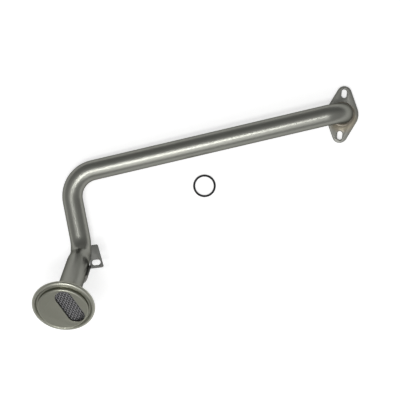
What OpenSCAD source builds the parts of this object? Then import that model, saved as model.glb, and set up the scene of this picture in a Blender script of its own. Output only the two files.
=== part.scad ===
// Oil pickup tube of an engine: a bent steel tube with a bolted flange at the pump end, a round strainer
// at the intake end, a support bracket on the neck, and the loose ring that seals the flange.
// Millimetres. The origin is the centre of the flange's mating face, +Z points away from the pump and +Y
// runs along the two bolt slots. The part lies with the mating face and the lower leg on the plane Z = 0.

/* [Tube] */
// outer diameter of the tube
tube_od = 20; // [16:0.5:24]
// wall of the tube
tube_wall = 1.5; // [1:0.1:2.5]
// height of the first bend's corner above the mating face
riser_h = 26; // [25:0.5:40]
// long run, towards -X
run_x = 263; // [200:1:320]
// long run, towards -Y
run_y = 92; // [60:1:130]
// lower leg, towards +X
leg_x = 23; // [0:1:40]
// lower leg, towards -Y
leg_y = 71; // [60:1:110]
// neck, towards -X
neck_x = 2; // [-10:1:15]
// neck, towards -Y
neck_y = 51; // [35:1:65]
// neck, rise to the strainer's rim
neck_z = 69; // [60:1:90]
// centre-line radius of the bend at the flange
flange_bend_r = 18; // [16:0.5:20]
// centre-line radius of the elbow
elbow_bend_r = 26; // [20:0.5:30]
// centre-line radius of the bend at the neck
neck_bend_r = 26; // [20:0.5:28]
// wall that the tube loses on each side in its bends
bend_thin = 0.05; // [0.02:0.01:0.1]
// straight tube between the neck's bend and the cone of the swaged end
swage_lead = 0.5; // [0.2:0.1:2]
// growth of the radius at the swaged end
swage_step = 1.2; // [0.5:0.1:2]
// length of the cone that leads to the swaged end
swage_l = 8; // [5:0.5:10]

/* [Flange] */
// thickness of the flange plate
flange_t = 4; // [3:0.5:5]
// distance between the bolt slots
bolt_spacing = 42; // [40:0.5:50]
// width of a bolt slot
slot_w = 5.5; // [5:0.1:7]
// end-to-end length of a bolt slot
slot_l = 9; // [8:0.5:11]
// radius of the plate's round ends
flange_end_r = 7.3; // [7:0.1:9]
// radius of the plate's round middle
flange_mid_r = 16.2; // [15:0.1:19]
// depth of the socket that takes the tube's end
socket_depth = 2.5; // [1.5:0.1:2.7]
// gap between the tube's end and the socket's floor
socket_gap = 0.1; // [0.05:0.05:0.2]
// step from the tube's bore in to the outlet
outlet_step = 0.5; // [0.3:0.1:1]
// leg of the brazing fillet on the flange
flange_fillet = 2.4; // [1.5:0.1:2.8]

/* [Strainer] */
// tilt of the strainer's face from the vertical
face_tilt = 38.5; // [30:0.5:45]
// direction in which the strainer's face leans, from +X
face_turn = -84.5; // [-95:0.5:-80]
// outer radius of the rolled rim
rim_r = 28.9; // [27:0.1:34]
// sheet of the dish and its rolled rim
dish_t = 1.2; // [0.8:0.1:1.5]
// depth of the dish behind the rim
dish_depth = 12; // [10:0.5:16]
// set of the dish's wall in from the outside of the rim
mouth_in = 4.7; // [4.4:0.1:6]
// radius of the dish's flat back
dish_back_r = 15.5; // [15:0.1:17]
// width of the lip rolled over the cover
lip_w = 0.8; // [0.6:0.1:2]
// length of the collar inside the swaged end
collar_l = 9; // [6:0.5:14]
// wall of the collar
collar_t = 1.2; // [0.8:0.1:1.5]
// leg of the brazing fillet on the dish
neck_fillet = 2.4; // [1.5:0.1:2.8]
// sheet of the cover
cover_t = 1; // [0.8:0.1:1.4]
// set of the cover's raised face in from the outside of the rim
face_in = 5.5; // [4.8:0.1:6.5]
// height of the raised face over the cover's flange
face_h = 4; // [3.4:0.1:6]
// outside radius of the face's edge
face_edge_r = 1.5; // [1.2:0.1:2]
// width of the intake slot
intake_w = 16; // [10:0.1:17]
// gap between the intake slot's ends and the face's round edge
intake_gap = 0.5; // [0.3:0.1:3]
// distance of the intake slot from the face's centre
intake_off = 7.4; // [4:0.1:8]
// direction of the intake slot on the face
intake_turn = 26; // [0:1:60]
// thickness of the woven screen
screen_t = 0.8; // [0.5:0.1:1]
// height to which the screen is drawn up under the face
screen_rise = 2.2; // [1:0.1:2.4]
// set of the screen's flat in from the cover's raised face
screen_in = 6.4; // [5:0.1:8]
// width of the slope around the screen's flat
screen_slope = 2.2; // [1.5:0.1:3]
// pitch of the screen's wires
screen_pitch = 2.3; // [2:0.1:3]
// thickness of a wire
screen_wire = 0.8; // [0.5:0.1:1]
// gaps of the screen along the slot
screen_nx = 16; // [10:1:16]
// gaps of the screen across the slot
screen_ny = 7; // [4:1:7]
// room around the pieces clamped in the rim
rim_gap = 0.3; // [0.1:0.1:0.5]

/* [Bracket] */
// sheet of the bracket
bracket_t = 2; // [1.6:0.1:3]
// gap between the cone of the swaged end and the bracket's upper weld
saddle_gap = 0.4; // [0.2:0.1:2]
// length of the saddle along the neck
saddle_l = 15; // [12:0.5:20]
// turn of the saddle above the neck's side
saddle_front = 8; // [4:1:20]
// turn of the saddle below the neck's side
saddle_rear = 44; // [30:1:60]
// height of the tab's upper face over the saddle's start
tab_rise = 1; // [0:0.1:2]
// turn of the tab about the vertical, from square to the neck
tab_turn = 15.5; // [5:0.5:20]
// distance of the tab's middle line from the neck's axis
tab_out = 18.7; // [18:0.1:21]
// reach of the tab's wide end past the neck's axis
tab_foot = 4.2; // [3:0.1:5]
// length of the tab
tab_l = 22.6; // [20:0.1:26]
// width of the tab at its wide end
tab_wide = 13.6; // [13:0.1:16]
// width of the tab at its narrow end
tab_narrow = 6.4; // [5:0.1:8]
// corner radius of the tab
tab_corner_r = 1.5; // [0.5:0.1:1.8]
// width of the tab's bolt slot
tab_slot_w = 5.2; // [4.5:0.1:5.5]
// end-to-end length of the tab's bolt slot
tab_slot_l = 8.4; // [7:0.1:8.6]
// distance of the bolt slot from the tab's wide end
tab_slot_in = 5.4; // [5:0.1:8]
// leg of the weld beads
weld_leg = 2; // [1.2:0.1:2.2]

/* [Sealing ring] */
// inside diameter of the ring
ring_id = 18.4; // [16:0.1:22]
// section of the ring
ring_section = 2.1; // [1.6:0.1:3]
// place of the ring beside the tube, in X
ring_x = -128; // [-140:1:-110]
// place of the ring beside the tube, in Y
ring_y = -86; // [-110:1:-80]

/* [Hidden] */
$fn = 96;
steel = [0.47, 0.47, 0.44];
braze = [0.55, 0.50, 0.38];
wire = [0.40, 0.39, 0.42];
rubber = [0.07, 0.07, 0.08];
tube_r = tube_od / 2;
tube_end = flange_t - socket_depth + socket_gap;
swage_r = tube_r + swage_step;
corner_1 = [0, 0, riser_h];
corner_2 = [-run_x, -run_y, tube_r];
corner_3 = corner_2 + [leg_x, -leg_y, 0];
rim_at = corner_3 + [-neck_x, -neck_y, neck_z];
riser_dir = [0, 0, 1];
run_dir = unit(corner_2 - corner_1);
leg_dir = unit(corner_3 - corner_2);
neck_dir = unit(rim_at - corner_3);
out_dir = unit(cross([0, 0, 1], neck_dir));
neck_frame = frame(corner_3, out_dir, cross(neck_dir, out_dir), neck_dir);
neck_l = norm(rim_at - corner_3);
neck_start = reach(leg_dir, neck_dir, neck_bend_r);
swage_at = neck_start + swage_lead;
dish_mouth_r = rim_r - mouth_in;
face_r = rim_r - face_in;
flat_r = face_r - face_edge_r;
intake_d = sqrt(pow(flat_r - intake_gap - intake_w / 2, 2) - pow(intake_off, 2));
screen_flat_r = face_r - screen_in;
saddle_at = swage_at + swage_l + weld_leg + saddle_gap;
tab_at = corner_3 + neck_dir * (saddle_at + tab_rise / neck_dir[2]);
stack_h = screen_t + cover_t;
bead_r = dish_t + stack_h / 2;
bead_at = rim_r - bead_r;
stack_r = bead_at - rim_gap;
collar_r = swage_r - tube_wall;
cut = 1;
lap = 0.3;
big = 4 * rim_r;

function unit(v) = v / norm(v);
function turn_of(a, b) = acos(a * b);
function reach(a, b, r) = r * tan(turn_of(a, b) / 2);
function frame(at, x, y, z) = [[x[0], y[0], z[0], at[0]], [x[1], y[1], z[1], at[1]],
                               [x[2], y[2], z[2], at[2]], [0, 0, 0, 1]];

// straight length of tube, lapped into the bends at its ends
module straight(from, to) {
    v = to - from;
    translate(from) rotate([0, acos(v[2] / norm(v)), atan2(v[1], v[0])]) translate([0, 0, -lap])
        difference() {
            cylinder(r = tube_r, h = norm(v) + 2 * lap);
            translate([0, 0, -cut]) cylinder(r = tube_r - tube_wall, h = norm(v) + 2 * (lap + cut));
        }
}

// bend of the tube from one direction to another, its wall a little thinner than the straight tube's
module bend(corner, a, b, r) {
    inward = unit(b - a * (a * b));
    centre = corner - a * reach(a, b, r) + inward * r;
    multmatrix(frame(centre, -inward, a, cross(-inward, a)))
        rotate_extrude(angle = turn_of(a, b)) translate([r, 0]) difference() {
            circle(r = tube_r - bend_thin);
            circle(r = tube_r - tube_wall + bend_thin);
        }
}

// what stands in the frame of the strainer: rim plane at Z = 0, face towards +Z
module on_strainer() {
    translate(rim_at) rotate([0, face_tilt, face_turn]) children();
}

// everything in front of the dish's back
module in_front_of_dish() {
    on_strainer() translate([-big / 2, -big / 2, -dish_depth]) cube([big, big, big]);
}

// section of a brazing fillet or weld bead in an inside corner
module bead_section(leg) {
    polygon([[0, 0], [leg, 0], [0.38 * leg, 0.38 * leg], [0, leg]]);
}

// one bent, hollow tube with a swaged end
module pickup_tube() {
    color(steel) {
        straight([0, 0, tube_end + lap], corner_1 - riser_dir * reach(riser_dir, run_dir, flange_bend_r));
        bend(corner_1, riser_dir, run_dir, flange_bend_r);
        straight(corner_1 + run_dir * reach(riser_dir, run_dir, flange_bend_r),
                 corner_2 - run_dir * reach(run_dir, leg_dir, elbow_bend_r));
        bend(corner_2, run_dir, leg_dir, elbow_bend_r);
        straight(corner_2 + leg_dir * reach(run_dir, leg_dir, elbow_bend_r),
                 corner_3 - leg_dir * neck_start);
        bend(corner_3, leg_dir, neck_dir, neck_bend_r);
        difference() {
            multmatrix(neck_frame) rotate_extrude()
                polygon([[tube_r - tube_wall, neck_start - lap], [tube_r, neck_start - lap],
                         [tube_r, swage_at], [swage_r, swage_at + swage_l], [swage_r, neck_l],
                         [collar_r, neck_l], [collar_r, swage_at + swage_l],
                         [tube_r - tube_wall, swage_at]]);
            in_front_of_dish();
        }
    }
}

// outline of the flange: a round middle and two round ends joined by straight edges
module flange_outline() {
    c = bolt_spacing / 2;
    s = asin((flange_mid_r - flange_end_r) / c);
    mx = flange_mid_r * cos(s);
    my = flange_mid_r * sin(s);
    ex = flange_end_r * cos(s);
    ey = c + flange_end_r * sin(s);
    circle(r = flange_mid_r);
    for (y = [-c, c]) translate([0, y]) circle(r = flange_end_r);
    polygon([[mx, my], [ex, ey], [-ex, ey], [-mx, my], [-mx, -my], [-ex, -ey], [ex, -ey], [mx, -my]]);
}

// slot with round ends, along Y
module bolt_slot(w, l) {
    d = (l - w) / 2;
    for (y = [-d, d]) translate([0, y]) circle(d = w);
    translate([-w / 2, -d]) square([w, 2 * d]);
}

// diamond plate with two bolt slots, the outlet and the socket for the tube
module mounting_flange() {
    color(steel) difference() {
        linear_extrude(height = flange_t) flange_outline();
        translate([0, 0, -cut]) cylinder(r = tube_r - tube_wall - outlet_step, h = flange_t + 2 * cut);
        translate([0, 0, flange_t - socket_depth]) cylinder(r = tube_r, h = socket_depth + cut);
        for (y = [-bolt_spacing / 2, bolt_spacing / 2])
            translate([0, y, -cut]) linear_extrude(height = flange_t + 2 * cut) bolt_slot(slot_w, slot_l);
    }
}

// brazing fillet around the tube on the flange
module flange_braze() {
    color(braze) translate([0, 0, flange_t]) rotate_extrude() translate([tube_r, 0])
        bead_section(flange_fillet);
}

// section of the dish and of the rim rolled over the cover
module dish_section() {
    difference() {
        union() {
            translate([bead_at, stack_h / 2]) circle(r = bead_r);
            translate([bead_at - lip_w, -dish_t]) square([lip_w, stack_h + 2 * dish_t]);
        }
        translate([0, 0]) square([bead_at, stack_h]);
    }
    polygon([[bead_at, -dish_t], [dish_mouth_r + dish_t / 2, -dish_t], [dish_back_r, -dish_depth],
             [0, -dish_depth], [0, dish_t - dish_depth], [dish_back_r - dish_t / 2, dish_t - dish_depth],
             [dish_mouth_r, 0], [bead_at, 0]]);
}

// drawn dish with a rolled rim, and a collar at the back that enters the swaged end
module strainer_housing() {
    color(steel) difference() {
        union() {
            on_strainer() rotate_extrude() dish_section();
            difference() {
                multmatrix(neck_frame) translate([0, 0, neck_l - dish_depth - collar_l])
                    cylinder(r = collar_r, h = collar_l + dish_t);
                in_front_of_dish();
            }
        }
        multmatrix(neck_frame) translate([0, 0, neck_l - dish_depth - collar_l - cut])
            cylinder(r = collar_r - collar_t, h = collar_l + 3 * dish_t + cut);
    }
}

// brazing fillet around the swaged end on the dish's back
module neck_braze() {
    f = neck_fillet;
    color(braze) difference() {
        multmatrix(neck_frame) translate([0, 0, neck_l - dish_depth]) rotate_extrude()
            translate([swage_r, 0]) polygon([[0, -f], [0.38 * f, -0.38 * f], [f, 0], [f, f], [0, f]]);
        in_front_of_dish();
    }
}

// what stands in the frame of the intake slot: slot along X
module on_intake() {
    rotate(intake_turn) translate([0, intake_off, 0]) children();
}

// outline of the intake slot: round ends, along X
module intake_outline() {
    r = intake_w / 2;
    for (x = [-intake_d, intake_d]) translate([x, 0]) circle(r = r);
    translate([-intake_d, -r]) square([2 * intake_d, 2 * r]);
}

// section of the cover: clamped flange, wall and raised face
module cover_section() {
    top = stack_h + face_h;
    in_r = face_edge_r - cover_t;
    translate([face_r - cover_t, screen_t]) square([stack_r - face_r + cover_t, cover_t]);
    difference() {
        union() {
            translate([0, screen_t]) square([face_r, top - face_edge_r - screen_t]);
            translate([0, screen_t]) square([flat_r, top - screen_t]);
            translate([flat_r, top - face_edge_r]) circle(r = face_edge_r);
        }
        square([flat_r + in_r, top - face_edge_r]);
        square([flat_r, top - cover_t]);
        translate([flat_r, top - face_edge_r]) circle(r = in_r);
    }
}

// stamped cover with a raised face and the punched intake slot
module strainer_cover() {
    color(steel) on_strainer() difference() {
        rotate_extrude() cover_section();
        on_intake() translate([0, 0, stack_h + cut / 2]) linear_extrude(height = face_h + cut)
            intake_outline();
    }
}

// section of the screen: clamped edge, slope and flat
module screen_section() {
    slim = screen_t * tan(atan2(screen_rise, screen_slope) / 2);
    foot_r = screen_flat_r + screen_slope;
    polygon([[0, screen_rise], [screen_flat_r - slim, screen_rise], [foot_r - slim, 0], [stack_r, 0],
             [stack_r, screen_t], [foot_r, screen_t], [screen_flat_r, screen_rise + screen_t],
             [0, screen_rise + screen_t]]);
}

// woven screen clamped in the rim, with its gaps in the flat under the intake slot
module strainer_screen() {
    gap = screen_pitch - screen_wire;
    color(wire) on_strainer() difference() {
        rotate_extrude() screen_section();
        on_intake() for (i = [0 : screen_nx - 1], j = [0 : screen_ny - 1]) {
            at = [(i - (screen_nx - 1) / 2) * screen_pitch, (j - (screen_ny - 1) / 2) * screen_pitch];
            if (norm(at + [0, intake_off]) < screen_flat_r - screen_pitch)
                translate([at[0] - gap / 2, at[1] - gap / 2, -cut])
                    cube([gap, gap, screen_rise + screen_t + 2 * cut]);
        }
    }
}

// outline of the tab: X away from the neck, Y down towards the wide end
module tab_outline() {
    r = tab_corner_r;
    slope = atan2((tab_wide - tab_narrow) / 2, tab_l);
    foot = tab_wide / 2 - r * tan(45 + slope / 2);
    tip = tab_narrow / 2 - r * tan(45 - slope / 2);
    low = tab_foot - r;
    top = tab_foot - tab_l + r;
    side = r * cos(slope);
    rise = r * sin(slope);
    difference() {
        union() {
            translate([tab_out, 0])
                polygon([[-tab_wide / 2, tab_foot], [foot, tab_foot], [foot + side, low - rise],
                         [tip + side, top - rise], [tip, top - r], [-tip, top - r],
                         [-tip - side, top - rise]]);
            for (at = [[foot, low], [tip, top], [-tip, top]])
                translate([tab_out + at[0], at[1]]) circle(r = r);
        }
        translate([tab_out, tab_foot - tab_slot_in]) rotate(90) bolt_slot(tab_slot_w, tab_slot_l);
    }
}

// tab of the bracket, level with the flange, from its top down to a depth
module tab(depth) {
    multmatrix(frame(tab_at, out_dir, -cross([0, 0, 1], out_dir), [0, 0, -1])) rotate(-tab_turn)
        linear_extrude(height = depth) tab_outline();
}

// strip around the side of the neck, over the saddle's turn
module around_neck(at) {
    multmatrix(neck_frame) translate([0, 0, at]) rotate(-saddle_rear)
        rotate_extrude(angle = saddle_rear + saddle_front) translate([swage_r, 0]) children();
}

// pressed bracket: a saddle on the neck and a level tab with a bolt slot
module support_bracket() {
    color(steel) {
        around_neck(saddle_at) square([bracket_t, saddle_l]);
        tab(bracket_t);
    }
}

// weld bead at the saddle's end nearer the elbow, clear of the tab and of its seat below
module bracket_weld_upper() {
    color(steel) difference() {
        around_neck(saddle_at) mirror([0, 1]) bead_section(weld_leg);
        tab(bracket_t + 4 * weld_leg);
    }
}

// weld bead at the saddle's end nearer the strainer
module bracket_weld_lower() {
    color(steel) around_neck(saddle_at + saddle_l) bead_section(weld_leg);
}

// sealing ring of the flange, lying loose beside the tube
module o_ring() {
    color(rubber) translate([ring_x, ring_y, ring_section / 2]) rotate_extrude()
        translate([(ring_id + ring_section) / 2, 0]) circle(d = ring_section);
}

pickup_tube();
mounting_flange();
flange_braze();
strainer_housing();
neck_braze();
strainer_screen();
strainer_cover();
support_bracket();
bracket_weld_upper();
bracket_weld_lower();
o_ring();
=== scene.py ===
import math

import bmesh
import bpy
from mathutils import Matrix, Vector, noise


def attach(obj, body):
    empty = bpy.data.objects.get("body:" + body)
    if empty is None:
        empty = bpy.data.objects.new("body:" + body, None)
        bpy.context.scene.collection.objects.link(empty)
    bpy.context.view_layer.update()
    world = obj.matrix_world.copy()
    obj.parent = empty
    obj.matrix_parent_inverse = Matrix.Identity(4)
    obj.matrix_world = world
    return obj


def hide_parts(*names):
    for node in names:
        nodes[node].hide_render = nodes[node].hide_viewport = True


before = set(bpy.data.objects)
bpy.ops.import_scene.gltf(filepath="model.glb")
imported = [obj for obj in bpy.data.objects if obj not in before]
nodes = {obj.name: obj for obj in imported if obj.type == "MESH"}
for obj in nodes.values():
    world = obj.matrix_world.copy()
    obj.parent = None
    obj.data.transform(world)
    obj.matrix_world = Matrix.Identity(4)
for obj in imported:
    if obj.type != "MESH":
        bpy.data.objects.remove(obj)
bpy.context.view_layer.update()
mm = 0.001  # pieces are sized in millimetres; camera, lamps, floor and tints in metres
print("frame loaded with", len(nodes), "nodes")

# camera over the part, as it lies flat on the table
cameraSet = {
    "place": (-0.10903, -0.14952, 0.99406),
    "target": (-0.13083, -0.10044, 0.0),
    "upHint": (-0.1122, 0.9923, 0.0515),
    "lens": 90.0,
    "sensor": 36.0,
    "clip": (0.01, 20.0),
}


def addCamera(s):
    data = bpy.data.cameras.new("camera")
    data.lens, data.sensor_width, data.sensor_fit = s["lens"], s["sensor"], "HORIZONTAL"
    data.clip_start, data.clip_end = s["clip"]
    camera = bpy.data.objects.new("camera", data)
    bpy.context.collection.objects.link(camera)
    back = (Vector(s["place"]) - Vector(s["target"])).normalized()
    right = Vector(s["upHint"]).cross(back).normalized()
    turn = Matrix((right, back.cross(right), back)).transposed().to_4x4()
    camera.matrix_world = Matrix.Translation(s["place"]) @ turn
    bpy.context.scene.camera = camera


addCamera(cameraSet)
bpy.context.scene.view_settings.view_transform = "Standard"

# soft boxes: a long one over the run, a wide dim one in front, two on the left for the elbow and the leg
lightSet = {
    "aim": (-0.13, -0.10, 0.02),
    "distance": 1.45,
    "boxes": {
        "runBox": {
            "toward": (-0.023, -0.302, 1.0), "along": (-0.944, -0.33, 0.0),
            "size": (0.72, 0.19), "power": 6.1,
        },
        "frontBox": {
            "toward": (0.11, -0.94, 1.0), "along": (1.0, 0.0, 0.0),
            "size": (1.00, 0.90), "power": 4.1,
        },
        "elbowBox": {
            "toward": (-0.207, -0.096, 1.0), "along": (1.0, 0.0, 0.0),
            "size": (0.20, 0.14), "power": 1.2,
        },
        "legBox": {
            "toward": (-0.58, -0.12, 1.0), "along": (0.3, -0.95, 0.0),
            "size": (0.45, 0.30), "power": 0.34,
        },
    },
    # room brightness from the near wall (-Y) over the ceiling to the far wall (+Y)
    "room": (
        (0.0, 0.46), (0.30, 0.48), (0.50, 0.48), (0.67, 0.38), (0.80, 0.26), (0.92, 0.24), (1.0, 0.38),
    ),
}


def addLights(s):
    for name, box in s["boxes"].items():
        data = bpy.data.lights.new(name, "AREA")
        data.shape, data.size, data.size_y = "RECTANGLE", box["size"][0], box["size"][1]
        data.energy = box["power"]
        lamp = bpy.data.objects.new(name, data)
        bpy.context.collection.objects.link(lamp)
        back = Vector(box["toward"]).normalized()
        up = back.cross(Vector(box["along"])).normalized()
        turn = Matrix((up.cross(back), up, back)).transposed().to_4x4()
        lamp.matrix_world = Matrix.Translation(Vector(s["aim"]) + back * s["distance"]) @ turn
    world = bpy.data.worlds.new("room")
    bpy.context.scene.world = world
    world.use_nodes = True
    tree = world.node_tree
    coords = tree.nodes.new("ShaderNodeTexCoord")
    split = tree.nodes.new("ShaderNodeSeparateXYZ")
    fit = tree.nodes.new("ShaderNodeMapRange")
    fit.inputs["From Min"].default_value, fit.inputs["From Max"].default_value = -1.0, 1.0
    ramp = tree.nodes.new("ShaderNodeValToRGB")
    stops = ramp.color_ramp.elements
    while len(stops) < len(s["room"]):
        stops.new(0.5)
    for stop, (place, grey) in zip(stops, s["room"]):
        stop.position, stop.color = place, (grey, grey, grey, 1.0)
    tree.links.new(coords.outputs["Generated"], split.inputs["Vector"])
    tree.links.new(split.outputs["Y"], fit.inputs["Value"])
    tree.links.new(fit.outputs["Result"], ramp.inputs["Fac"])
    tree.links.new(ramp.outputs["Color"], tree.nodes["Background"].inputs["Color"])


addLights(lightSet)


def newObject(name, bm):
    mesh = bpy.data.meshes.new(name)
    bm.to_mesh(mesh)
    bm.free()
    obj = bpy.data.objects.new(name, mesh)
    bpy.context.collection.objects.link(obj)
    return obj


# pale floor under the part: white to the eye, with the part's soft shadow
floorSet = {
    "size": 14.0, "drop": 0.0002, "colour": (0.70, 0.70, 0.70, 1.0), "roughness": 0.9, "gloss": 0.1,
    "glow": (1.0, 1.0, 1.0, 1.0), "lift": 0.52,
}


def addFloor(s):
    bm = bmesh.new()
    bmesh.ops.create_grid(bm, x_segments=1, y_segments=1, size=s["size"] / 2)
    bmesh.ops.translate(bm, verts=bm.verts, vec=(0.0, 0.0, -s["drop"]))
    floor = newObject("floor", bm)
    material = bpy.data.materials.new("paleFloor")
    material.use_nodes = True
    tree = material.node_tree
    shader = tree.nodes["Principled BSDF"]
    shader.inputs["Base Color"].default_value = s["colour"]
    shader.inputs["Roughness"].default_value = s["roughness"]
    shader.inputs["Specular IOR Level"].default_value = s["gloss"]
    shader.inputs["Emission Color"].default_value = s["glow"]
    path = tree.nodes.new("ShaderNodeLightPath")
    glossy = tree.nodes.new("ShaderNodeMath")
    through = tree.nodes.new("ShaderNodeMath")
    lift = tree.nodes.new("ShaderNodeMath")
    glossy.operation, through.operation, lift.operation = "MAXIMUM", "MAXIMUM", "MULTIPLY"
    lift.inputs[1].default_value = s["lift"]
    tree.links.new(path.outputs["Is Camera Ray"], glossy.inputs[0])
    tree.links.new(path.outputs["Is Glossy Ray"], glossy.inputs[1])
    tree.links.new(glossy.outputs[0], through.inputs[0])
    tree.links.new(path.outputs["Is Transmission Ray"], through.inputs[1])
    tree.links.new(through.outputs[0], lift.inputs[0])
    tree.links.new(lift.outputs[0], shader.inputs["Emission Strength"])
    floor.data.materials.append(material)


addFloor(floorSet)
print("camera, lights and floor set")

# satin steel: slow mottling, patches of polish and a fine grain
grainSet = {
    "inputs": {"Mottle": 0.1, "Roughness": 0.4, "Polish": 0.08, "Grain": 2600.0},
    "noises": {"slow": (55.0, 3.0), "patch": (420.0, 4.0), "fine": (2600.0, 2.0)},  # scale and detail
}


def steelGrainGroup(s):
    group = bpy.data.node_groups.new("steelGrain", "ShaderNodeTree")
    face = group.interface
    face.new_socket("Colour", in_out="INPUT", socket_type="NodeSocketColor")
    for name, value in s["inputs"].items():
        face.new_socket(name, in_out="INPUT", socket_type="NodeSocketFloat").default_value = value
    face.new_socket("Colour", in_out="OUTPUT", socket_type="NodeSocketColor")
    face.new_socket("Roughness", in_out="OUTPUT", socket_type="NodeSocketFloat")
    face.new_socket("Height", in_out="OUTPUT", socket_type="NodeSocketFloat")
    add, link = group.nodes.new, group.links.new
    source, result = add("NodeGroupInput"), add("NodeGroupOutput")
    coords = add("ShaderNodeTexCoord")
    noises = {}
    for name, (scale, detail) in s["noises"].items():
        noises[name] = add("ShaderNodeTexNoise")
        noises[name].inputs["Scale"].default_value = scale
        noises[name].inputs["Detail"].default_value = detail
        link(coords.outputs["Object"], noises[name].inputs["Vector"])
    link(source.outputs["Grain"], noises["fine"].inputs["Scale"])

    def around(texture, amount, centre):
        off, times, plus = add("ShaderNodeMath"), add("ShaderNodeMath"), add("ShaderNodeMath")
        off.operation, times.operation, plus.operation = "SUBTRACT", "MULTIPLY", "ADD"
        off.inputs[1].default_value = 0.5
        link(noises[texture].outputs["Fac"], off.inputs[0])
        link(off.outputs[0], times.inputs[0])
        link(source.outputs[amount], times.inputs[1])
        link(times.outputs[0], plus.inputs[0])
        if isinstance(centre, float):
            plus.inputs[1].default_value = centre
        else:
            link(centre, plus.inputs[1])
        return plus.outputs[0]

    shade = add("ShaderNodeVectorMath")
    shade.operation = "SCALE"
    link(source.outputs["Colour"], shade.inputs[0])
    link(around("slow", "Mottle", 1.0), shade.inputs["Scale"])
    link(shade.outputs["Vector"], result.inputs["Colour"])
    link(around("patch", "Polish", source.outputs["Roughness"]), result.inputs["Roughness"])
    link(noises["fine"].outputs["Fac"], result.inputs["Height"])
    return group


steelGrain = steelGrainGroup(grainSet)

# straw and brown tint that brazing leaves around a joint
haloSet = {
    "inputs": {"Inner": 0.011, "Outer": 0.019, "Amount": 0.6},
    "blotchScale": 140.0, "blotchDetail": 3.0, "ragged": 0.006,
}


def heatHaloGroup(s):
    group = bpy.data.node_groups.new("heatHalo", "ShaderNodeTree")
    face = group.interface
    face.new_socket("Place", in_out="INPUT", socket_type="NodeSocketVector")
    for name, value in s["inputs"].items():
        face.new_socket(name, in_out="INPUT", socket_type="NodeSocketFloat").default_value = value
    face.new_socket("Mask", in_out="OUTPUT", socket_type="NodeSocketFloat")
    add, link = group.nodes.new, group.links.new
    source, result = add("NodeGroupInput"), add("NodeGroupOutput")
    coords = add("ShaderNodeTexCoord")
    far = add("ShaderNodeVectorMath")
    far.operation = "DISTANCE"
    link(coords.outputs["Object"], far.inputs[0])
    link(source.outputs["Place"], far.inputs[1])
    blotch = add("ShaderNodeTexNoise")
    blotch.inputs["Scale"].default_value = s["blotchScale"]
    blotch.inputs["Detail"].default_value = s["blotchDetail"]
    link(coords.outputs["Object"], blotch.inputs["Vector"])
    ragged = add("ShaderNodeMath")
    ragged.operation = "MULTIPLY_ADD"
    ragged.inputs[1].default_value = s["ragged"]
    link(blotch.outputs["Fac"], ragged.inputs[0])
    link(far.outputs["Value"], ragged.inputs[2])
    fade = add("ShaderNodeMapRange")
    fade.interpolation_type = "SMOOTHSTEP"
    link(ragged.outputs[0], fade.inputs["Value"])
    link(source.outputs["Inner"], fade.inputs["From Min"])
    link(source.outputs["Outer"], fade.inputs["From Max"])
    link(source.outputs["Amount"], fade.inputs["To Min"])
    fade.inputs["To Max"].default_value = 0.0
    link(fade.outputs["Result"], result.inputs["Mask"])
    return group


heatHalo = heatHaloGroup(haloSet)
grainDepth = 0.05 * mm


def steelMaterial(name, s):
    material = bpy.data.materials.new(name)
    material.use_nodes = True
    tree = material.node_tree
    add, link = tree.nodes.new, tree.links.new
    shader = tree.nodes["Principled BSDF"]
    shader.inputs["Metallic"].default_value = 1.0
    shader.inputs["Specular Tint"].default_value = s["edge"]
    grain = add("ShaderNodeGroup")
    grain.node_tree = steelGrain
    grain.inputs["Colour"].default_value = s["colour"]
    for key in ("Mottle", "Roughness", "Polish", "Grain"):
        grain.inputs[key].default_value = s[key.lower()]
    bump = add("ShaderNodeBump")
    bump.inputs["Strength"].default_value = s["bump"]
    bump.inputs["Distance"].default_value = grainDepth
    colour, rough = grain.outputs["Colour"], grain.outputs["Roughness"]
    for halo in s.get("halos", ()):
        tint = add("ShaderNodeGroup")
        tint.node_tree = heatHalo
        tint.inputs["Place"].default_value = halo["place"]
        for key in ("Inner", "Outer", "Amount"):
            tint.inputs[key].default_value = halo[key.lower()]
        mix = add("ShaderNodeMix")
        mix.data_type = "RGBA"
        link(tint.outputs["Mask"], mix.inputs["Factor"])
        link(colour, mix.inputs["A"])
        mix.inputs["B"].default_value = halo["colour"]
        colour = mix.outputs["Result"]
    if "drawn" in s:
        # faint lines along the tube, read from its own flow attribute
        flow = add("ShaderNodeAttribute")
        flow.attribute_name = "flow"
        stretch = add("ShaderNodeVectorMath")
        stretch.operation = "MULTIPLY"
        stretch.inputs[1].default_value = s["drawn"]["stretch"]
        link(flow.outputs["Vector"], stretch.inputs[0])
        lines = add("ShaderNodeTexNoise")
        lines.inputs["Scale"].default_value = 1.0
        lines.inputs["Detail"].default_value = s["drawn"]["detail"]
        link(stretch.outputs["Vector"], lines.inputs["Vector"])
        worn = add("ShaderNodeMath")
        worn.operation = "MULTIPLY_ADD"
        worn.inputs[1].default_value = s["drawn"]["rough"]
        link(lines.outputs["Fac"], worn.inputs[0])
        link(rough, worn.inputs[2])
        rough = worn.outputs[0]
    link(colour, shader.inputs["Base Color"])
    link(rough, shader.inputs["Roughness"])
    link(grain.outputs["Height"], bump.inputs["Height"])
    link(bump.outputs["Normal"], shader.inputs["Normal"])
    return material


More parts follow.
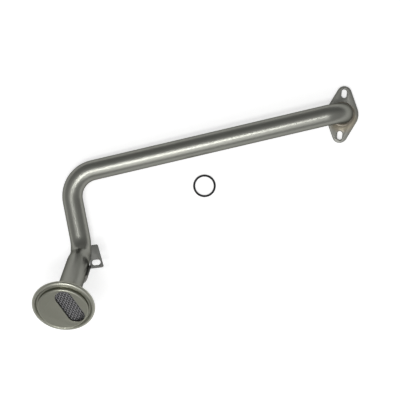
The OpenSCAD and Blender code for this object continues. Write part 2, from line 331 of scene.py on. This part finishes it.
strawTint, brownTint = (0.30, 0.27, 0.205, 1.0), (0.40, 0.352, 0.265, 1.0)
flangeHalo = {
    "place": (0.001, -0.004, 0.004), "inner": 0.013, "outer": 0.020, "amount": 0.75, "colour": brownTint,
}
dishHalo = {
    "place": (-0.2424, -0.2066, 0.0680), "inner": 0.014, "outer": 0.020, "amount": 0.5, "colour": strawTint,
}
tubeFinish = {
    "colour": (0.262, 0.264, 0.238, 1.0), "edge": (0.2, 0.2, 0.2, 1.0), "mottle": 0.12,
    "roughness": 0.29, "polish": 0.04, "grain": 2600.0, "bump": 0.04,
    "drawn": {"stretch": (22.0, 22.0, 14.0), "detail": 5.0, "rough": 0.09}, "halos": (dishHalo,),
}
plateFinish = {
    "colour": (0.250, 0.251, 0.229, 1.0), "edge": (0.3, 0.3, 0.3, 1.0), "mottle": 0.16,
    "roughness": 0.42, "polish": 0.10, "grain": 2200.0, "bump": 0.35, "halos": (flangeHalo,),
}
# painted shade: the flange's plate steel at about half its brightness, so the bracket's level tab stays
# darker under the lamps
bracketShadedFinish = {
    "colour": (0.128, 0.129, 0.121, 1.0), "edge": (0.9, 0.9, 0.9, 1.0), "mottle": 0.22,
    "roughness": 0.52, "polish": 0.10, "grain": 1900.0, "bump": 0.4,
}
strainerFinish = {
    "colour": (0.298, 0.300, 0.250, 1.0), "edge": (0.3, 0.3, 0.3, 1.0), "mottle": 0.12,
    "roughness": 0.34, "polish": 0.08, "grain": 2600.0, "bump": 0.25, "halos": (dishHalo,),
}
# painted light: the cover's sheet steel made lighter, standing in for light from the right on the housing's
# rim
dishLitFinish = {
    "colour": (0.372, 0.374, 0.318, 1.0), "edge": (0.3, 0.3, 0.3, 1.0), "mottle": 0.12,
    "roughness": 0.32, "polish": 0.08, "grain": 2600.0, "bump": 0.2, "halos": (dishHalo,),
}
weldFinish = {
    "colour": (0.21, 0.205, 0.19, 1.0), "edge": (0.8, 0.8, 0.8, 1.0), "mottle": 0.4,
    "roughness": 0.42, "polish": 0.16, "grain": 1500.0, "bump": 0.5,
}
wireFinish = {
    "colour": (0.308, 0.304, 0.311, 1.0), "edge": (0.5, 0.5, 0.5, 1.0), "mottle": 0.15,
    "roughness": 0.66, "polish": 0.06, "grain": 4000.0, "bump": 0.05,
}
brazeFinish = {
    "colour": (0.30, 0.272, 0.225, 1.0), "edge": (0.4, 0.37, 0.32, 1.0), "mottle": 0.4,
    "roughness": 0.46, "polish": 0.14, "grain": 1500.0, "bump": 0.5,
}
tubeSteel = steelMaterial("tubeSteel", tubeFinish)
plateSteel = steelMaterial("plateSteel", plateFinish)
bracketShadedSteel = steelMaterial("bracketShadedSteel", bracketShadedFinish)
strainerSteel = steelMaterial("strainerSteel", strainerFinish)
dishLitSteel = steelMaterial("dishLitSteel", dishLitFinish)
weldSteel = steelMaterial("weldSteel", weldFinish)
wireSteel = steelMaterial("wireSteel", wireFinish)
brazeMetal = steelMaterial("brazeMetal", brazeFinish)

# moulded rubber: near black, a slightly dusty and uneven sheen
ringFinish = {
    "colour": (0.006, 0.006, 0.007, 1.0), "dust": (0.016, 0.016, 0.017, 1.0), "roughness": (0.38, 0.56),
    "gloss": 0.25, "cloud": (260.0, 4.0), "grit": (3200.0, 2.0), "bump": 0.2, "bumpDepth": 0.04 * mm,
}


def rubberMaterial(s):
    material = bpy.data.materials.new("ringRubber")
    material.use_nodes = True
    tree = material.node_tree
    add, link = tree.nodes.new, tree.links.new
    shader = tree.nodes["Principled BSDF"]
    shader.inputs["Specular IOR Level"].default_value = s["gloss"]
    coords = add("ShaderNodeTexCoord")
    cloud, grit = add("ShaderNodeTexNoise"), add("ShaderNodeTexNoise")
    for texture, (scale, detail) in ((cloud, s["cloud"]), (grit, s["grit"])):
        texture.inputs["Scale"].default_value = scale
        texture.inputs["Detail"].default_value = detail
        link(coords.outputs["Object"], texture.inputs["Vector"])
    dust = add("ShaderNodeMix")
    dust.data_type = "RGBA"
    dust.inputs["A"].default_value, dust.inputs["B"].default_value = s["colour"], s["dust"]
    sheen = add("ShaderNodeMapRange")
    sheen.inputs["To Min"].default_value, sheen.inputs["To Max"].default_value = s["roughness"]
    bump = add("ShaderNodeBump")
    bump.inputs["Strength"].default_value = s["bump"]
    bump.inputs["Distance"].default_value = s["bumpDepth"]
    link(cloud.outputs["Fac"], dust.inputs["Factor"])
    link(cloud.outputs["Fac"], sheen.inputs["Value"])
    link(grit.outputs["Fac"], bump.inputs["Height"])
    link(dust.outputs["Result"], shader.inputs["Base Color"])
    link(sheen.outputs["Result"], shader.inputs["Roughness"])
    link(bump.outputs["Normal"], shader.inputs["Normal"])
    return material


ringRubber = rubberMaterial(ringFinish)
nodes["o_ring"].data.materials.clear()
nodes["o_ring"].data.materials.append(ringRubber)
print("finishes made")


def standFor(piece, node, material, sharp=40.0):
    for face in piece.data.polygons:
        face.use_smooth = True
    piece.data.set_sharp_from_angle(angle=math.radians(sharp))
    piece.data.materials.clear()
    piece.data.materials.append(material)
    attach(piece, "root")
    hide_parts(node)
    print(piece.name, "has", len(piece.data.polygons), "faces")


# the tube: one ring of edges pushed along the straights, turned through the bends and opened at the swage
tubeSet = {
    "radius": 10.0, "wall": 1.5, "sides": 72, "start": 1.6,
    "corners": ((0, 0, 26), (-263, -92, 10), (-240, -163, 10), (-242, -214, 79)),
    "bends": ((18.0, 20), (26.0, 24), (26.0, 16)),
    "swageEarly": 4, "swageRings": 6, "swageLength": 8.5, "swageStep": 1.2,
    "flowLength": 20.0,  # of tube for one step of the flow attribute
}
strainerSet = {"tilt": 38.5, "turn": -84.5, "dishDepth": 12.0}
rimPlace = Vector(tubeSet["corners"][3]) * mm
strainerFrame = (Matrix.Translation(rimPlace) @ Matrix.Rotation(math.radians(strainerSet["turn"]), 4, "Z")
                 @ Matrix.Rotation(math.radians(strainerSet["tilt"]), 4, "Y"))
strainerAxis = (strainerFrame.to_3x3() @ Vector((0.0, 0.0, 1.0))).normalized()


# from 0 to 1 with a slow start and a slow end
def ease(t):
    return t * t * (3 - 2 * t)


# a new ring of vertices, joined by a band of faces to the ring given
def pushRing(bm, ring):
    old = set(ring)
    edges = {e for v in ring for e in v.link_edges if e.other_vert(v) in old}
    made = bmesh.ops.extrude_edge_only(bm, edges=list(edges))["geom"]
    return [g for g in made if isinstance(g, bmesh.types.BMVert)]


def buildTube(s):
    bm = bmesh.new()
    flow = bm.verts.layers.float_vector.new("flow")
    radius = s["radius"] * mm
    ring = bmesh.ops.create_circle(bm, cap_ends=False, segments=s["sides"], radius=radius)["verts"]
    for v in ring:
        v[flow] = (v.co.x / radius, v.co.y / radius, 0.0)
    bmesh.ops.translate(bm, verts=ring, vec=(0.0, 0.0, s["start"] * mm))
    state = {"ring": ring, "at": Vector((0.0, 0.0, s["start"] * mm)), "wide": s["radius"]}

    def nextRing(length):
        state["ring"] = pushRing(bm, state["ring"])
        for v in state["ring"]:
            v[flow] = (v[flow][0], v[flow][1], v[flow][2] + length / (s["flowLength"] * mm))
        return state["ring"]

    def straight(to):
        step = to - state["at"]
        bmesh.ops.translate(bm, verts=nextRing(step.length), vec=step)
        state["at"] = to.copy()

    def swell(rings, done):
        wide = s["radius"] + s["swageStep"] * ease(done / rings)
        grow = wide / state["wide"]
        bmesh.ops.scale(bm, verts=state["ring"], vec=(grow, grow, grow),
                        space=Matrix.Translation(-state["at"]))
        state["wide"] = wide

    corners = [Vector(c) * mm for c in s["corners"]]
    ways = [Vector((0.0, 0.0, 1.0))] + [(b - a).normalized() for a, b in zip(corners, corners[1:])]
    rings = s["swageEarly"] + s["swageRings"]
    for corner, inWay, outWay, (bend, steps) in zip(corners, ways, ways[1:], s["bends"]):
        angle = inWay.angle(outWay)
        reach = bend * mm * math.tan(angle / 2)
        straight(corner - inWay * reach)
        inward = (outWay - inWay * inWay.dot(outWay)).normalized()
        centre = state["at"] + inward * bend * mm
        turn = Matrix.Rotation(angle / steps, 3, inWay.cross(outWay))
        for i in range(steps):
            verts = nextRing(angle / steps * bend * mm)
            bmesh.ops.rotate(bm, verts=verts, cent=centre, matrix=turn)
            state["at"] = centre + turn @ (state["at"] - centre)
            if corner is corners[2] and i >= steps - s["swageEarly"]:
                swell(rings, i + 1 + s["swageEarly"] - steps)
    step = ways[-1] * s["swageLength"] / s["swageRings"] * mm
    for i in range(s["swageRings"]):
        straight(state["at"] + step)
        swell(rings, s["swageEarly"] + i + 1)
    straight(corners[-1])
    back = corners[-1] - strainerAxis * strainerSet["dishDepth"] * mm
    bmesh.ops.bisect_plane(bm, geom=bm.verts[:] + bm.edges[:] + bm.faces[:], plane_co=back,
                           plane_no=strainerAxis, clear_outer=True)
    bmesh.ops.recalc_face_normals(bm, faces=bm.faces[:])
    bmesh.ops.solidify(bm, geom=bm.faces[:], thickness=s["wall"] * mm)
    return newObject("bentTube", bm)


standFor(buildTube(tubeSet), "pickup_tube", tubeSteel)

# pressed and cut pieces: a merged copy of the solid with its edges broken
edgeSets = {
    "mounting_flange": {
        "name": "flangePlate", "width": 0.45, "angle": 50, "finish": plateSteel, "slot": "plate_steel",
    },
    "support_bracket": {
        "name": "bracketPlate", "width": 0.35, "angle": 50, "finish": bracketShadedSteel, "slot": "plate_steel",
    },
    "strainer_cover": {
        "name": "coverPressing", "width": 0.18, "angle": 50, "finish": strainerSteel, "slot": "sheet_steel",
    },
    "strainer_housing": {
        "name": "dishPressing", "width": 0.30, "angle": 24, "finish": dishLitSteel, "slot": "sheet_steel",
    },
}
mergeGap = 0.002 * mm
flatAngle = math.radians(0.4)


# a copy of a solid's mesh with its loose triangles joined
def mergedCopy(node):
    bm = bmesh.new()
    bm.from_mesh(nodes[node].data)
    bmesh.ops.remove_doubles(bm, verts=bm.verts[:], dist=mergeGap)
    return bm


def breakEdges(node, s):
    bm = mergedCopy(node)
    bmesh.ops.dissolve_limit(bm, angle_limit=flatAngle, verts=bm.verts[:], edges=bm.edges[:])
    least = math.radians(s["angle"])
    sharp = [e for e in bm.edges if len(e.link_faces) == 2 and e.calc_face_angle(0.0) > least]
    bmesh.ops.bevel(bm, geom=sharp, offset=s["width"] * mm, offset_type="OFFSET", segments=3, profile=0.5,
                    affect="EDGES", material=-1, clamp_overlap=False)
    return newObject(s["name"], bm)


for node, s in edgeSets.items():
    standFor(breakEdges(node, s), node, s["finish"])

# brazing and weld beads: the solid's bead, cut finer and left uneven
beadSets = {
    "flange_braze": {
        "name": "flangeBead", "cuts": 1, "wave": 0.22, "grain": 420.0, "finish": brazeMetal, "slot": "braze",
    },
    "neck_braze": {
        "name": "neckBead", "cuts": 1, "wave": 0.22, "grain": 420.0, "finish": brazeMetal, "slot": "braze",
    },
    "bracket_weld_upper": {
        "name": "weldBeadUpper", "cuts": 2, "wave": 0.20, "grain": 900.0, "finish": weldSteel,
        "slot": "weld_steel",
    },
    "bracket_weld_lower": {
        "name": "weldBeadLower", "cuts": 2, "wave": 0.20, "grain": 900.0, "finish": weldSteel,
        "slot": "weld_steel",
    },
}
beadSharp = 60.0


def roughBead(node, s):
    bm = mergedCopy(node)
    bmesh.ops.subdivide_edges(bm, edges=bm.edges[:], cuts=s["cuts"], use_grid_fill=True)
    bm.normal_update()
    for v in bm.verts:
        lump = noise.noise(v.co * s["grain"])
        v.co -= v.normal * (0.5 + 0.5 * lump) * s["wave"] * mm
    return newObject(s["name"], bm)


for node, s in beadSets.items():
    standFor(roughBead(node, s), node, s["finish"], sharp=beadSharp)

# woven screen: wavy wires over and under each other, drawn up under the slot
screenSet = {
    "pitch": 2.0, "wire": 0.90, "swing": 0.38, "sides": 8, "perPitch": 6, "radius": 25.5, "turn": 26.0,
    "rise": 2.2, "flat": 18.0, "foot": 22.0, "middle": 0.4, "crimp": 0.44,
}


def wavyWire(s, count):
    bm = bmesh.new()
    step = s["pitch"] / s["perPitch"]
    steps = count * s["perPitch"]
    heights = [s["swing"] * math.cos(math.pi * i / s["perPitch"]) for i in range(steps + 1)]
    radius = s["wire"] / 2 * mm
    verts = bmesh.ops.create_circle(bm, cap_ends=False, segments=s["sides"], radius=radius)["verts"]
    bmesh.ops.rotate(bm, verts=verts, cent=(0, 0, 0), matrix=Matrix.Rotation(math.radians(90), 3, "Y"))
    bmesh.ops.translate(bm, verts=verts, vec=Vector((-count / 2 * s["pitch"], 0.0, heights[0])) * mm)
    for low, high in zip(heights, heights[1:]):
        verts = pushRing(bm, verts)
        bmesh.ops.translate(bm, verts=verts, vec=Vector((step, 0.0, high - low)) * mm)
    mesh = bpy.data.meshes.new("oneWire")
    bm.to_mesh(mesh)
    bm.free()
    return mesh


def buildScreen(s):
    half = int(s["radius"] / s["pitch"])
    wire = wavyWire(s, 4 * ((half + 3) // 2))
    cutWire = bpy.data.meshes.new("cutWire")
    bm = bmesh.new()
    for way in (0, 1):
        for row in range(-half, half + 1):
            one = bmesh.new()
            one.from_mesh(wire)
            place = Vector((((row + way) % 2) * s["pitch"], row * s["pitch"], 0.0)) * mm
            bmesh.ops.translate(one, verts=one.verts[:], vec=place)
            span = math.sqrt(s["radius"] ** 2 - (row * s["pitch"]) ** 2) * mm
            bmesh.ops.delete(one, geom=[v for v in one.verts if abs(v.co.x) > span], context="VERTS")
            bmesh.ops.rotate(one, verts=one.verts[:], cent=(0, 0, 0),
                             matrix=Matrix.Rotation(math.radians(90 * way), 3, "Z"))
            one.to_mesh(cutWire)
            one.free()
            bm.from_mesh(cutWire)
    bpy.data.meshes.remove(wire)
    bpy.data.meshes.remove(cutWire)
    bmesh.ops.holes_fill(bm, edges=[e for e in bm.edges if e.is_boundary], sides=s["sides"])
    bmesh.ops.recalc_face_normals(bm, faces=bm.faces[:])
    turn = Matrix.Rotation(math.radians(s["turn"]), 4, "Z")
    bmesh.ops.transform(bm, matrix=turn, verts=bm.verts[:])
    for v in bm.verts:
        r = math.hypot(v.co.x, v.co.y) / mm
        lift = ease(min(1.0, max(0.0, (s["foot"] - r) / (s["foot"] - s["flat"]))))
        v.co.z = v.co.z * (s["crimp"] + (1 - s["crimp"]) * lift) + (s["middle"] + s["rise"] * lift) * mm
    bmesh.ops.transform(bm, matrix=strainerFrame, verts=bm.verts[:])
    return newObject("wovenScreen", bm)


standFor(buildScreen(screenSet), "strainer_screen", wireSteel)
print("pieces built")
